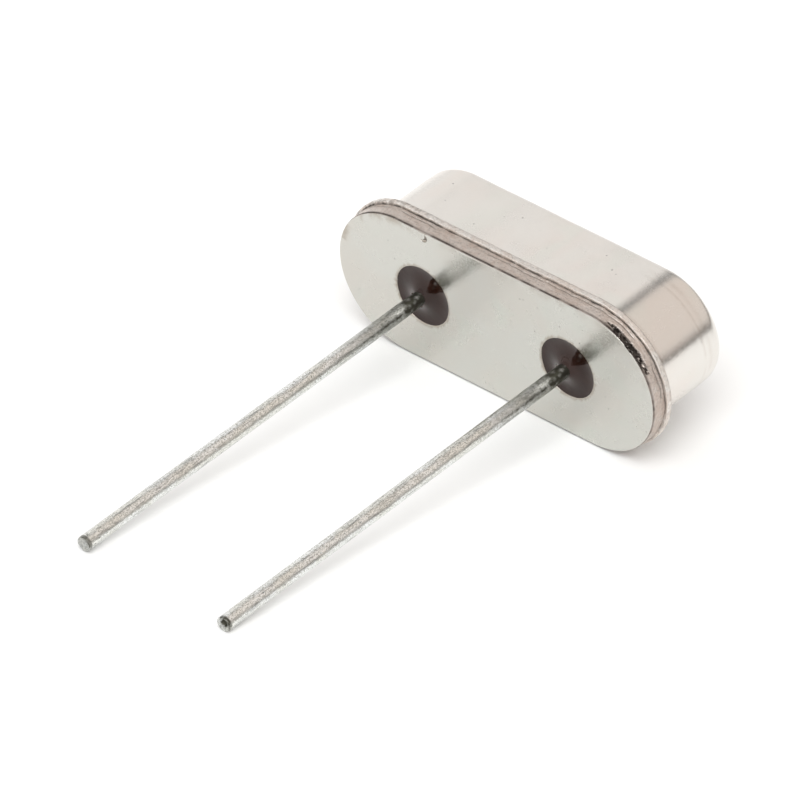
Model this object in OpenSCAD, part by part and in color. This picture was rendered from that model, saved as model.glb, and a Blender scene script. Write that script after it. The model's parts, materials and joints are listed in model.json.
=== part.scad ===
// Low-profile quartz crystal unit: a drawn metal cover welded to a stamped base,
// two wire leads in glass seals, and a quartz blank held on two spring clips inside.
// It lies at rest on the lower edge of the cover's lip and on the tips of its leads.
// +Z is up, the leads point along -Y, and the origin is the middle of the footprint.
// All sizes are in millimetres.

/* [Leads] */
// Distance between the centres of the two leads
lead_pitch = 4.88; // [4.4:0.01:5.9]
// Diameter of each lead over its tin coat
lead_d = 0.43; // [0.35:0.01:0.55]
// Thickness of the tin coat
coat_t = 0.02; // [0.01:0.005:0.04]
// Bare wire between the seating face and the coat
bare_len = 0.20; // [0.15:0.01:0.3]
// Length over which the coat thins out towards the glass
coat_fade = 0.55; // [0.52:0.01:0.8]
// Length of the left lead below the seating face
left_lead_len = 12.8; // [6:0.1:20]
// Length of the right lead below the seating face
right_lead_len = 13.0; // [6:0.1:20]
// Bare wire between the base and the flattened head inside
lead_stub = 0.20; // [0.15:0.05:0.3]
// Diameter of the flattened head that the clip is welded to
head_d = 0.90; // [0.6:0.05:1.1]
// Thickness of the flattened head
head_t = 0.12; // [0.08:0.02:0.16]
// Width of the worn edge at each cut tip
tip_edge = 0.03; // [0.01:0.01:0.08]

/* [Base] */
// Distance between the centres of the round ends of base and cover
end_pitch = 6.40; // [5.2:0.01:8]
// Thickness of the base's rim, under the lip of the cover
rim_t = 0.48; // [0.35:0.01:0.6]
// Thickness of the base's raised middle
base_t = 0.85; // [0.75:0.05:1.1]
// Distance that the base's rim stays inside the lip of the cover
rim_setback = 0.08; // [0.04:0.01:0.15]
// Radius rolled on the edge of the seating face
roll_r = 0.06; // [0.03:0.01:0.12]
// Bevel round the top of the raised middle
boss_bevel = 0.15; // [0.05:0.05:0.3]

/* [Glass seals] */
// Diameter of each glass seal and of its hole in the base
seal_d = 1.74; // [1.3:0.02:2.1]
// Height that the glass climbs the lead past the base
seal_climb = 0.12; // [0.05:0.01:0.15]
// Depth of the glass at the wall of its hole
seal_sink = 0.02; // [0:0.01:0.04]
// Radius of the hollow between lead and hole
meniscus_r = 0.90; // [0.6:0.05:1.5]

/* [Cover] */
// Width of the cover over its flat sides
cover_w = 3.56; // [3.0:0.02:4.4]
// Height of the cover above the seating face
cover_h = 3.20; // [2.6:0.05:4.2]
// Thickness of the cover's sheet
sheet_t = 0.18; // [0.15:0.01:0.25]
// Outer radius of the crown's edge
crown_r = 0.34; // [0.3:0.02:0.5]
// Outer radius where the wall turns out into the lip
root_r = 0.18; // [0.1:0.02:0.24]
// Distance that the lip stands out from the wall
lip_reach = 0.40; // [0.36:0.01:0.6]
// Gap between the cover's wall and the raised middle of the base
fit_gap = 0.05; // [0.03:0.01:0.1]

/* [Quartz blank] */
// Thickness of the blank
blank_t = 0.15; // [0.08:0.01:0.2]
// Room between each end of the blank and the cover
end_room = 0.76; // [0.5:0.02:1]
// Room between each side of the blank and the cover
side_room = 0.70; // [0.5:0.02:0.8]
// Room between the top of the blank and the cover's ceiling
head_room = 0.75; // [0.5:0.05:0.9]
// Length of each electrode's pad
pad_len = 3.80; // [3:0.1:4.6]
// Bare quartz left along each side of the pad
pad_margin = 0.25; // [0.15:0.05:0.4]
// Width of the tail from each pad to the blank's end
tail_w = 0.60; // [0.4:0.05:0.8]
// Thickness of the electrode film
film_t = 0.02; // [0.02:0.01:0.04]

/* [Spring clips] */
// Thickness of the clip's strip
clip_t = 0.10; // [0.08:0.01:0.14]
// Width of the strip
clip_w = 1.20; // [0.9:0.05:1.4]
// Reach of the foot to each side of the lead
foot_reach = 0.42; // [0.35:0.01:0.45]
// Length of the shelf under the blank's end
shelf_len = 0.90; // [0.7:0.05:1.1]
// Gap between the blank and the clip's end stop and ears
clip_gap = 0.06; // [0.04:0.01:0.1]
// Height of the end stop and ears above the shelf
stop_h = 0.30; // [0.24:0.02:0.36]
// Length of each ear
ear_len = 0.50; // [0.3:0.05:0.6]
// Radius of the adhesive over each end of the blank
glue_r = 0.46; // [0.4:0.02:0.5]

/* [Hidden] */
$fn = 96;

LEFT = -1;
RIGHT = 1;
over = 1; // how far a cutter runs past what it cuts

lead_r = lead_d / 2;
wire_r = lead_r - coat_t;
lead_x = lead_pitch / 2;
head_r = head_d / 2;
seal_r = seal_d / 2;
cover_r = cover_w / 2;
lip_r = cover_r + lip_reach;
base_r = lip_r - rim_setback;
inner_r = cover_r - sheet_t;
boss_r = inner_r - fit_gap;
ceiling = cover_h - sheet_t;

// The blank hangs from the ceiling's room, and everything under it follows.
blank_len = end_pitch + 2 * (inner_r - end_room);
blank_w = 2 * (inner_r - side_room);
blank_top = ceiling - head_room;
blank_bottom = blank_top - blank_t;
pad_w = blank_w - 2 * pad_margin;
shelf_top = blank_bottom - film_t;
head_bottom = base_t + lead_stub;
head_top = head_bottom + head_t;

// The hollow of the glass is an arc from the lead to the wall of the hole.
chord_r = seal_r - wire_r;
chord_z = seal_climb + seal_sink;
chord = sqrt(chord_r * chord_r + chord_z * chord_z);
chord_lift = sqrt(meniscus_r * meniscus_r - chord * chord / 4);
meniscus_x = (wire_r + seal_r) / 2 - chord_lift * chord_z / chord;
meniscus_z = (seal_sink - seal_climb) / 2 - chord_lift * chord_r / chord;

// At rest the line from the longer lead's tip to the lip's lower edge is level.
longest_lead = max(left_lead_len, right_lead_len);
rest_tilt = atan((lip_r - lead_r) / (rim_t + longest_lead - tip_edge));
rest_lift = lip_r * cos(rest_tilt) - rim_t * sin(rest_tilt);
front_y = -longest_lead * cos(rest_tilt) - (lead_r - tip_edge) * sin(rest_tilt);
back_y = (cover_h - crown_r) * cos(rest_tilt) + (cover_r - crown_r) * sin(rest_tilt) + crown_r;
rest_y = -(front_y + back_y) / 2;

// Puts the upright unit, with its leads down and its seating face at z = 0, in its rest pose.
module at_rest() {
    translate([0, rest_y, rest_lift])
        rotate([rest_tilt - 90, 0, 0])
            children();
}

// Sweeps a half profile (x outwards, y up) round the stadium that the end centres give.
module stadium_sweep() {
    rotate([90, 0, 90])
        linear_extrude(end_pitch, center = true) {
            children();
            mirror([1, 0]) children();
        }
    for (side = [LEFT, RIGHT])
        translate([side * end_pitch / 2, 0, 0])
            rotate_extrude()
                children();
}

// A block from the axis out to r, between two heights.
module block_profile(r, low, high) {
    translate([0, low])
        square([r, high - low]);
}

// A block with its outer top corner rounded.
module crowned_profile(r, low, high, corner_r) {
    difference() {
        block_profile(r, low, high);
        translate([r - corner_r, high - corner_r])
            square(corner_r + over);
    }
    translate([r - corner_r, high - corner_r])
        circle(corner_r);
}

// A block with its outer bottom corner rounded.
module rolled_profile(r, high, corner_r) {
    difference() {
        block_profile(r, 0, high);
        translate([r - corner_r, -over])
            square([corner_r + over, corner_r + over]);
    }
    translate([r - corner_r, corner_r])
        circle(corner_r);
}

// What lies between the wall and the root's arc, out to the lip.
module root_profile(r, low, arc_r) {
    difference() {
        translate([r, low])
            square(arc_r);
        translate([cover_r + root_r, rim_t + sheet_t + root_r])
            circle(arc_r);
    }
}

module cover_outside_profile() {
    crowned_profile(cover_r, rim_t, cover_h, crown_r);
    block_profile(lip_r, rim_t, rim_t + sheet_t);
    root_profile(cover_r, rim_t + sheet_t, root_r);
}

module cover_inside_profile() {
    crowned_profile(inner_r, rim_t - over, ceiling, crown_r - sheet_t);
    root_profile(inner_r, rim_t, root_r + sheet_t);
}

// Drawn cover: crown, wall and welding lip in one sheet.
module cover() {
    color([0.87, 0.85, 0.82])
        difference() {
            stadium_sweep() cover_outside_profile();
            stadium_sweep() cover_inside_profile();
        }
}

module seal_holes() {
    for (side = [LEFT, RIGHT])
        translate([side * lead_x, 0, -over])
            cylinder(r = seal_r, h = base_t + 2 * over);
}

module base_profile() {
    rolled_profile(base_r, rim_t, roll_r);
    polygon([
        [0, rim_t - roll_r],
        [boss_r, rim_t - roll_r],
        [boss_r, base_t - boss_bevel],
        [boss_r - boss_bevel, base_t],
        [0, base_t]
    ]);
}

// Stamped base: a rim for the weld and a raised middle with two sealed holes.
module base_plate() {
    color([0.84, 0.83, 0.80])
        difference() {
            stadium_sweep() base_profile();
            seal_holes();
        }
}

// Glass between lead and base, hollowed on both faces where it has wetted the metal.
module glass_seal(side) {
    color([0.30, 0.27, 0.26])
        translate([side * lead_x, 0, 0])
            rotate_extrude()
                difference() {
                    translate([wire_r, -seal_climb])
                        square([seal_r - wire_r, base_t + 2 * seal_climb]);
                    translate([meniscus_x, meniscus_z])
                        circle(meniscus_r);
                    translate([meniscus_x, base_t - meniscus_z])
                        circle(meniscus_r);
                }
}

// Wire lead: coated and cut below, bare through the glass, flattened into a head above.
module lead(side, length) {
    color([0.74, 0.72, 0.68])
        translate([side * lead_x, 0, 0])
            rotate_extrude()
                polygon([
                    [0, -length],
                    [lead_r - tip_edge, -length],
                    [lead_r, tip_edge - length],
                    [lead_r, -bare_len - coat_fade],
                    [wire_r, -bare_len],
                    [wire_r, head_bottom],
                    [head_r, head_bottom],
                    [head_r, head_top],
                    [0, head_top]
                ]);
}

// A strip of sheet along a path of x and z points, on the path's own centre line.
module bent_strip(path, width) {
    rotate([90, 0, 0])
        linear_extrude(width, center = true) {
            for (i = [0 : len(path) - 2]) {
                step = path[i + 1] - path[i];
                translate(path[i])
                    rotate(atan2(step[1], step[0]))
                        translate([0, -clip_t / 2])
                            square([norm(step), clip_t]);
            }
            for (i = [1 : len(path) - 2])
                translate(path[i])
                    circle(d = clip_t);
        }
}

// Spring clip of the right side: foot, riser, shelf, end stop and two ears.
module right_clip() {
    foot_z = head_top + clip_t / 2;
    shelf_z = shelf_top - clip_t / 2;
    stop_x = blank_len / 2 + clip_gap + clip_t / 2;
    ear_y = blank_w / 2 + clip_gap;
    bent_strip([
        [lead_x - foot_reach, foot_z],
        [lead_x + foot_reach, foot_z],
        [blank_len / 2 - shelf_len, shelf_z],
        [stop_x, shelf_z],
        [stop_x, shelf_top + stop_h]
    ], clip_w);
    // The shelf widens to carry an ear on each side of the blank.
    translate([blank_len / 2 - ear_len, -ear_y - clip_t, shelf_top - clip_t])
        cube([ear_len, 2 * (ear_y + clip_t), clip_t]);
    for (edge = [LEFT, RIGHT])
        translate([blank_len / 2 - ear_len, edge * (ear_y + clip_t / 2) - clip_t / 2, shelf_top - clip_t])
            cube([ear_len, clip_t, clip_t + stop_h]);
}

module spring_clip(side) {
    color([0.78, 0.74, 0.62])
        if (side == RIGHT)
            right_clip();
        else
            mirror([1, 0, 0]) right_clip();
}

// Thin rectangular plate of quartz.
module quartz_blank() {
    color([0.86, 0.91, 0.93])
        translate([-blank_len / 2, -blank_w / 2, blank_bottom])
            cube([blank_len, blank_w, blank_t]);
}

// Metal film on one face of the blank: a pad with a tail to the end on the given side.
module electrode(side, bottom) {
    color([0.80, 0.80, 0.82])
        translate([0, 0, bottom])
            linear_extrude(film_t) {
                square([pad_len, pad_w], center = true);
                translate([side < 0 ? -blank_len / 2 : 0, -tail_w / 2])
                    square([blank_len / 2, tail_w]);
            }
}

module upper_electrode() {
    electrode(LEFT, blank_top);
}

module lower_electrode() {
    electrode(RIGHT, blank_bottom - film_t);
}

// Conductive adhesive that bonds one end of the blank to its clip.
module adhesive(side) {
    color([0.62, 0.60, 0.58])
        difference() {
            translate([side * blank_len / 2, 0, blank_top - clip_gap])
                sphere(glue_r);
            translate([-blank_len, -blank_len, shelf_top - blank_len])
                cube([2 * blank_len, 2 * blank_len, blank_len]);
            quartz_blank();
            upper_electrode();
            lower_electrode();
            spring_clip(side);
            // beyond the end stop
            translate([side * (blank_len / 2 + clip_gap) + (side < 0 ? -blank_len : 0), -blank_len / 2, 0])
                cube([blank_len, blank_len, 2 * cover_h]);
        }
}

at_rest() cover();
at_rest() base_plate();
at_rest() glass_seal(LEFT);  // glass_seal_left
at_rest() glass_seal(RIGHT);  // glass_seal_right
at_rest() lead(LEFT, left_lead_len);  // lead_left
at_rest() lead(RIGHT, right_lead_len);  // lead_right
at_rest() spring_clip(LEFT);  // spring_clip_left
at_rest() spring_clip(RIGHT);  // spring_clip_right
at_rest() quartz_blank();
at_rest() upper_electrode();
at_rest() lower_electrode();
at_rest() adhesive(LEFT);  // adhesive_left
at_rest() adhesive(RIGHT);  // adhesive_right
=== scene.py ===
import json
import math

import bmesh
import bpy
import numpy as np
from bpy.props import FloatProperty, FloatVectorProperty, PointerProperty
from mathutils import Matrix, Vector, noise


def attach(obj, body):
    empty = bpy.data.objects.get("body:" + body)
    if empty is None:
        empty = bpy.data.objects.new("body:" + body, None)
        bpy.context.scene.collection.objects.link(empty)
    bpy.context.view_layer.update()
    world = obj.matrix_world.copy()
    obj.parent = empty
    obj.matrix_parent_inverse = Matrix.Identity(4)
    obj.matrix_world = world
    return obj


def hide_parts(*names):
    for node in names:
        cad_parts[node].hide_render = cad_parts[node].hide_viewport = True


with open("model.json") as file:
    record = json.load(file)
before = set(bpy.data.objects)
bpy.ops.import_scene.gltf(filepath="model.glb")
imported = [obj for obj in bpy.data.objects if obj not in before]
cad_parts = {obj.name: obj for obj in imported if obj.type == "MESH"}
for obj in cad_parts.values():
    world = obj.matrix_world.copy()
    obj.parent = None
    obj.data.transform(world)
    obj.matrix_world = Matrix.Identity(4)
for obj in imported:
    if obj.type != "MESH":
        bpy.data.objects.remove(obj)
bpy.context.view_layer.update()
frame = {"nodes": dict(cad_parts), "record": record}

bl_info = {
    "name": "Quartz Crystal Unit",
    "version": (1, 0, 0),
    "blender": (4, 5, 0),
    "location": "View3D > Sidebar > Crystal",
    "description": "Builds the looks of a low-profile quartz crystal unit around its packed frame",
    "category": "Object",
}

MM = 0.001


# --- The unit's own upright frame, in millimetres: seating face at z = 0, crown up, leads down ---

# The unit's length runs along x. At rest its -y side is the upper one.

MOUNTS = {mount["name"]: mount for mount in frame["record"]["mounts"]}
SEAT = Vector(MOUNTS["seating_face"]["pos_m"])
UPRIGHT_Z = -Vector(MOUNTS["seating_face"]["axis"]).normalized()
UPRIGHT_X = Vector((1, 0, 0))
UPRIGHT_Y = UPRIGHT_Z.cross(UPRIGHT_X)
TURN_TO_REST = Matrix((UPRIGHT_X, UPRIGHT_Y, UPRIGHT_Z)).transposed()
AT_REST = Matrix.Translation(SEAT) @ (TURN_TO_REST * MM).to_4x4()
# Points this near to a plane lie on it.
SAME_PLANE = 0.001


def upright_points(piece):
    """The vertices of a piece, in the upright frame."""
    flat = np.empty(len(piece.data.vertices) * 3)
    piece.data.vertices.foreach_get("co", flat)
    return (flat.reshape(-1, 3) - np.array(SEAT)) @ np.array(TURN_TO_REST) / MM


def read_cad_sizes():
    """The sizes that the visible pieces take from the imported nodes, in millimetres."""
    cover = upright_points(frame["nodes"]["cover"])
    base = upright_points(frame["nodes"]["base_plate"])
    seal = upright_points(frame["nodes"]["glass_seal_right"])
    lead_x = MOUNTS["lead_right_pin"]["pos_m"][0] / MM
    cover_h = cover[:, 2].max()
    upper_half = cover[cover[:, 2] > cover_h / 2]
    crown = cover[cover[:, 2] > cover_h - SAME_PLANE]
    sizes = {
        "end_x": cover[:, 0].max() - cover[:, 1].max(),
        "lip_r": cover[:, 1].max(),
        "cover_r": upper_half[:, 1].max(),
        "cover_h": cover_h,
        "crown_r": upper_half[:, 1].max() - crown[:, 1].max(),
        "base_r": base[:, 1].max(),
        "base_t": base[:, 2].max(),
        "rim_t": cover[:, 2].min(),
        "seal_r": seal[:, 1].max(),
        "seal_climb": -seal[:, 2].min(),
        "lead_r": MOUNTS["lead_right_pin"]["dims"]["r_mm"],
        "lead_x": lead_x,
        "wire_r": np.hypot(seal[:, 0] - lead_x, seal[:, 1]).min(),
    }
    return {name: float(value) for name, value in sizes.items()}


CAD = read_cad_sizes()


# --- Marks and wear: places in millimetres in the upright frame, angles in degrees ---

# Heights between which the metal follows the seam as it wanders.
SEAM_BOTTOM = 0.25
SEAM_TOP = 0.75
# How far the seam sways, and how far it ripples on top of that.
SEAM_SWAY = 0.016
SEAM_RIPPLE = 0.009
# Heights of the line round the rim and of the row of torn pits.
GROOVE_Z = 0.37
PIT_TRACK_Z = 0.125
# Depths of the rim's scale, its grain and strokes, the line, and the flakes in the pits.
SCALE_DEPTH = 0.010
GRAIN_DEPTH = 0.008
STROKE_DEPTH = 0.003
GROOVE_DEPTH = 0.02
FLAKE_DEPTH = 0.02
# How far left of its centre the right end's marks may begin.
END_OVERLAP = 0.4
# Stretches of the right end: where each one starts, is full, begins to fade and ends.
PIT_ARC = (-76, -68, -36, -26)
WIDE_PIT_ARC = (-72, -62, -44, -30)
BURNT_ARC = (-80, -70, -40, -20)
# How far below the crown the wall steps in, and where the sharp and the soft band of painted shade below the
# crown run.
DRAW_STEP = 0.80
SHARP_DRAW_SHADE = 0.76
SOFT_DRAW_SHADE = 0.56
# How far the step sways, and the depths of its line and of the wall above it.
DRAW_SWAY = 0.04
DRAW_LINE_DEPTH = 0.006
ABOVE_STEP_DEPTH = 0.016
# Depths of the lip's worn edge, its lines and its nicks.
LIP_DEPTH = 0.008
LIP_LINE_DEPTH = 0.004
LIP_NICK_DEPTH = 0.007
# The crescent tool mark in the seating face: its middle, radius, half width, first angle and turn.
NICK_PLACE = (-2.33, -1.95)
NICK_R = 0.12
NICK_HALF_WIDTH = 0.05
NICK_START = -60
NICK_TURN = 190
# How deep inside its hole the edge of each seal lies.
SEAL_SINK = 0.02
# Gap between the base's raised middle and the cover's sheet.
BOSS_GAP = 0.05
# The side that the cutter dragged at each tip, and how far that way the right tip's pit lies, in radii.
DRAG_X = 0.6
DRAG_Y = -0.8
TIP_PIT_OFFSET = 0.28
# The line of residue along each lead: its angle and half width.
RESIDUE_ANGLE = -27
RESIDUE_WIDTH = 9
# Heights where the bare wire ends and where the tin coat has its full thickness.
BARE_Z = -0.2
COATED_Z = -0.75


# --- Meshes ---

# Distances between profile points, from the finest to those on surfaces that nothing shows.
TIP_STEP = 0.016
RIM_STEP = 0.018
COVER_STEP = 0.034
HEAD_STEP = 0.05
SHAFT_STEP = 0.055
FACE_STEP = 0.09
CROWN_STEP = 0.11
BOSS_STEP = 0.14
HIDDEN_STEP = 0.16
# A step that is longer than any edge, and so leaves each edge whole.
UNDIVIDED = 5.0
# Points nearer than this become one, and a profile stretch shorter than this is left out.
MERGE_DISTANCE = 1e-5
NO_LENGTH = 1e-6
# Steps round each half circle and along each straight side, and steps round each round piece.
COVER_STEPS = (150, 124)
BASE_STEPS = (180, 150)
HOLE_STEPS = 96
SEAL_STEPS = 128
LEAD_STEPS = 72


def profile_path(corners, step):
    """Points about a step apart along a half profile of (r, z, fillet) corners, rounded by each fillet."""
    points = [Vector(corners[0][:2])]
    for before, corner, after in zip(corners, corners[1:], corners[2:]):
        here = Vector(corner[:2])
        fillet = corner[2]
        back = (Vector(before[:2]) - here).normalized()
        ahead = (Vector(after[:2]) - here).normalized()
        half_angle = back.angle(ahead) / 2
        if fillet <= 0 or half_angle > math.radians(89):
            points.append(here)
            continue
        centre = here + (back + ahead).normalized() * fillet / math.sin(half_angle)
        start = here + back * fillet / math.tan(half_angle) - centre
        turn = start.angle_signed(here + ahead * fillet / math.tan(half_angle) - centre)
        count = max(3, math.ceil(abs(turn) * fillet / step), math.ceil(abs(turn) / math.radians(15)))
        for i in range(count + 1):
            points.append(centre + Matrix.Rotation(-turn * i / count, 2) @ start)
    points.append(Vector(corners[-1][:2]))
    path = [points[0]]
    for point in points[1:]:
        origin = path[-1]
        length = (point - origin).length
        if length < NO_LENGTH:
            continue
        pieces = max(1, round(length / step))
        path.extend(origin.lerp(point, i / pieces) for i in range(1, pieces + 1))
    return np.array(path)


def joined_profile(*stretches):
    """One path from stretches of (corners, step), each of which starts where the last one ends."""
    paths = [profile_path(corners, step) for corners, step in stretches]
    return np.vstack([paths[0], *(path[1:] for path in paths[1:])])


def profile_normals(path):
    """Outward normals of a half profile that runs anticlockwise from the bottom of the axis."""
    ahead = np.vstack([path[1:], path[-1:]])
    behind = np.vstack([path[:1], path[:-1]])
    tangent = ahead - behind
    normal = np.stack([tangent[:, 1], -tangent[:, 0]], axis=1)
    return normal / np.linalg.norm(normal, axis=1, keepdims=True)


def stadium_ring(arc_steps, side_steps):
    """Centres (x) and outward directions (x, y) round the unit's two half circles and two straight sides."""
    end_x = CAD["end_x"]
    arc = np.radians(np.arange(arc_steps) * 180 / arc_steps)
    side = np.linspace(end_x, -end_x, side_steps, endpoint=False)
    centre = np.concatenate([np.full(arc_steps, end_x), side, np.full(arc_steps, -end_x), -side])
    quarter = math.pi / 2
    angle = np.concatenate(
        [arc - quarter, np.full(side_steps, quarter), arc + quarter, np.full(side_steps, -quarter)]
    )
    return centre, np.stack([np.cos(angle), np.sin(angle)], axis=1)


def round_ring(centre_x, steps):
    """The same for a round piece on a lead's axis."""
    angle = np.radians(np.arange(steps) * 360 / steps)
    return np.full(steps, centre_x), np.stack([np.cos(angle), np.sin(angle)], axis=1)


def ring_quads(rows, count):
    """Quads between rows of points, where each row is a closed ring."""
    row, column = np.meshgrid(np.arange(rows - 1), np.arange(count), indexing="ij")
    here = row * count
    following = (column + 1) % count
    corners = [here + column, here + following, here + count + following, here + count + column]
    return np.stack(corners, axis=-1).reshape(-1, 4)


def sweep(path, ring, relief=None):
    """Points and quads of a half profile swept round a ring; relief(points, normals) gives moved points."""
    centre, direction = ring

    def swept(profile, centre_x):
        rows = np.empty((len(path), len(centre), 3))
        rows[:, :, :2] = profile[:, None, :1] * direction[None]
        rows[:, :, 0] += centre_x
        rows[:, :, 2] = profile[:, None, 1]
        return rows.reshape(-1, 3)

    points = swept(path, centre)
    if relief is not None:
        points = relief(points, swept(profile_normals(path), 0.0))
    return points, ring_quads(len(path), len(centre))


def linked_object(name, data):
    """A new object in the scene."""
    thing = bpy.data.objects.new(name, data)
    bpy.context.scene.collection.objects.link(thing)
    return thing


def closed_object(name, points, quads):
    """A closed mesh object in the rest pose, from points in the upright frame."""
    mesh = bpy.data.meshes.new(name)
    mesh.from_pydata(points.tolist(), [], quads.tolist())
    shape = bmesh.new()
    shape.from_mesh(mesh)
    bmesh.ops.remove_doubles(shape, verts=shape.verts, dist=MERGE_DISTANCE)
    bmesh.ops.recalc_face_normals(shape, faces=shape.faces)
    shape.to_mesh(mesh)
    shape.free()
    mesh.transform(AT_REST)
    mesh.update()
    return linked_object(name, mesh)


def make_piece(name, points, quads, materials, sharp_angle):
    """A smooth piece of the unit, whose edges stay crisp above an angle in degrees."""
    piece = closed_object(name, points, quads)
    piece.data.shade_smooth()
    piece.data.set_sharp_from_angle(angle=math.radians(sharp_angle))
    for material in materials:
        piece.data.materials.append(material)
    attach(piece, "root")
    return piece


def cut_away(piece, cutters):
    """Cuts a piece with closed cutters and removes them."""
    for cutter in cutters:
        modifier = piece.modifiers.new("cut", "BOOLEAN")
        modifier.operation = "DIFFERENCE"
        modifier.solver = "EXACT"
        modifier.object = cutter
    bpy.context.view_layer.update()
    evaluated = piece.evaluated_get(bpy.context.evaluated_depsgraph_get())
    finished = bpy.data.meshes.new_from_object(evaluated)
    piece.modifiers.clear()
    piece.data = finished
    for cutter in cutters:
        bpy.data.objects.remove(cutter)


def set_attribute(piece, name, values):
    """Stores one number for each vertex, for the material to read."""
    attribute = piece.data.attributes.new(name, "FLOAT", "POINT")
    attribute.data.foreach_set("value", np.asarray(values, np.float32))


def use_edge_material(piece, placed, belongs):
    """Gives the second material to each face whose mean height and first corner's reach belong to it."""
    _, out = round_place(placed)
    for face in piece.data.polygons:
        height = placed[list(face.vertices)][:, 2].mean()
        face.material_index = int(belongs(height, out[face.vertices[0]]))


# --- Fields over the points ---


def noise_field(points, scale, offset, octaves):
    """Smooth noise of about -1 to 1 at each point; scale is one number or one for each axis."""
    scaled = points * np.asarray(scale) + offset
    return np.array([noise.fractal(Vector(p), 1.0, 2.0, octaves) for p in scaled])


def level_noise(points, scale, offset, octaves):
    """The same noise, but equal at all heights."""
    return noise_field(points * (1, 1, 0), scale, offset, octaves)


def smooth_step(value, low, high):
    """0 below low, 1 above high, and smooth between them."""
    t = np.clip((value - low) / (high - low), 0, 1)
    return t * t * (3 - 2 * t)


def window(value, rise, full, fade, end):
    """0 up to rise, 1 from full to fade, 0 again past end, and smooth between them."""
    return smooth_step(value, rise, full) * (1 - smooth_step(value, fade, end))


def hump(distance, half_width):
    """1 where the distance is 0, dying away smoothly on both sides."""
    return np.exp(-((distance / half_width) ** 2))


def round_place(points):
    """Each point's angle at the centre of its end, in radians, and its distance out from the unit's spine."""
    out_x = points[:, 0] - np.clip(points[:, 0], -CAD["end_x"], CAD["end_x"])
    return np.arctan2(points[:, 1], out_x), np.hypot(out_x, points[:, 1])


def right_end_stretch(points, arc):
    """1 on a stretch of the right end, and 0 past it."""
    angle, _ = round_place(points)
    return (points[:, 0] > CAD["end_x"] - END_OVERLAP) * window(np.degrees(angle), *arc)


# --- Material nodes ---


class Nodes:
    """Adds nodes to one tree and links them."""

    def __init__(self, tree):
        self.tree = tree

    def node(self, kind, inputs=None, **settings):
        """Adds a node; inputs are sockets to link or values to set, by name or number."""
        node = self.tree.nodes.new(kind)
        for name, value in settings.items():
            setattr(node, name, value)
        for name, value in (inputs or {}).items():
            if isinstance(value, bpy.types.NodeSocket):
                self.tree.links.new(value, node.inputs[name])
            else:
                node.inputs[name].default_value = value
        return node

    def span(self, value, low, high, to_low=0.0, to_high=1.0):
        """Maps low..high to to_low..to_high and holds it there."""
        inputs = {"Value": value, "From Min": low, "From Max": high, "To Min": to_low, "To Max": to_high}
        return self.node("ShaderNodeMapRange", inputs, interpolation_type="SMOOTHSTEP").outputs["Result"]

    def blend(self, factor, first, second):
        """A colour between two colours."""
        inputs = {0: factor, 6: first, 7: second}
        for name in (6, 7):
            if isinstance(inputs[name], tuple):
                inputs[name] = (*inputs[name], 1.0)
        return self.node("ShaderNodeMix", inputs, data_type="RGBA").outputs[2]

    def maths(self, kind, first, second):
        """One step of arithmetic."""
        return self.node("ShaderNodeMath", {0: first, 1: second}, operation=kind).outputs[0]

    def times(self, first, second):
        """Two numbers multiplied."""
        return self.maths("MULTIPLY", first, second)

    def plus(self, first, second):
        """Two numbers added."""
        return self.maths("ADD", first, second)

    def minus(self, first, second):
        """The second number taken from the first."""
        return self.maths("SUBTRACT", first, second)


class Finish(Nodes):
    """A material with one principled shader, built node by node in the upright frame."""

    def __init__(self, name, **shader_values):
        self.material = bpy.data.materials.new(name)
        self.material.use_nodes = True
        super().__init__(self.material.node_tree)
        self.shader = self.tree.nodes["Principled BSDF"]
        for socket, value in shader_values.items():
            self.shader.inputs[socket.replace("_", " ")].default_value = value
        inputs = {
            "Vector": self.node("ShaderNodeTexCoord").outputs["Object"],
            "Location": SEAT,
            "Rotation": TURN_TO_REST.to_euler(),
            "Scale": (MM, MM, MM),
        }
        self.place = self.node("ShaderNodeMapping", inputs, vector_type="TEXTURE").outputs["Vector"]

    def stretched(self, x, y, z):
        """The place in the unit with each axis scaled, for streaks and strokes."""
        inputs = {0: self.place, 1: (x, y, z)}
        return self.node("ShaderNodeVectorMath", inputs, operation="MULTIPLY").outputs[0]

    def noise(self, scale, detail=4.0, roughness=0.55, distortion=0.0, place=None):
        """Noise from about 0 to 1, with scale in features per millimetre."""
        inputs = {
            "Vector": place or self.place,
            "Scale": scale,
            "Detail": detail,
            "Roughness": roughness,
            "Distortion": distortion,
        }
        return self.node("ShaderNodeTexNoise", inputs).outputs["Fac"]

    def cells(self, scale, place=None):
        """Distance to the nearest of scattered points, for specks and pits."""
        inputs = {"Vector": place or self.place, "Scale": scale}
        return self.node("ShaderNodeTexVoronoi", inputs).outputs["Distance"]

    def bump(self, height, depth, under=None):
        """A normal from a height; depth is in millimetres."""
        inputs = {"Height": height, "Distance": depth * MM, "Strength": 1.0}
        if under is not None:
            inputs["Normal"] = under
        return self.node("ShaderNodeBump", inputs).outputs["Normal"]

    def attribute(self, name):
        """A number that the mesh carries for each vertex."""
        return self.node("ShaderNodeAttribute", attribute_name=name).outputs["Fac"]

    def done(self, **sockets):
        """Links the shader's sockets and gives the material."""
        for name, socket in sockets.items():
            self.tree.links.new(socket, self.shader.inputs[name.replace("_", " ")])
        return self.material


def shade(colour, factor):
    """A colour made lighter or darker."""
    return tuple(channel * factor for channel in colour)


def tinted(colour, red, green, blue):
    """A colour with each channel scaled."""
    return (colour[0] * red, colour[1] * green, colour[2] * blue)


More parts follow.
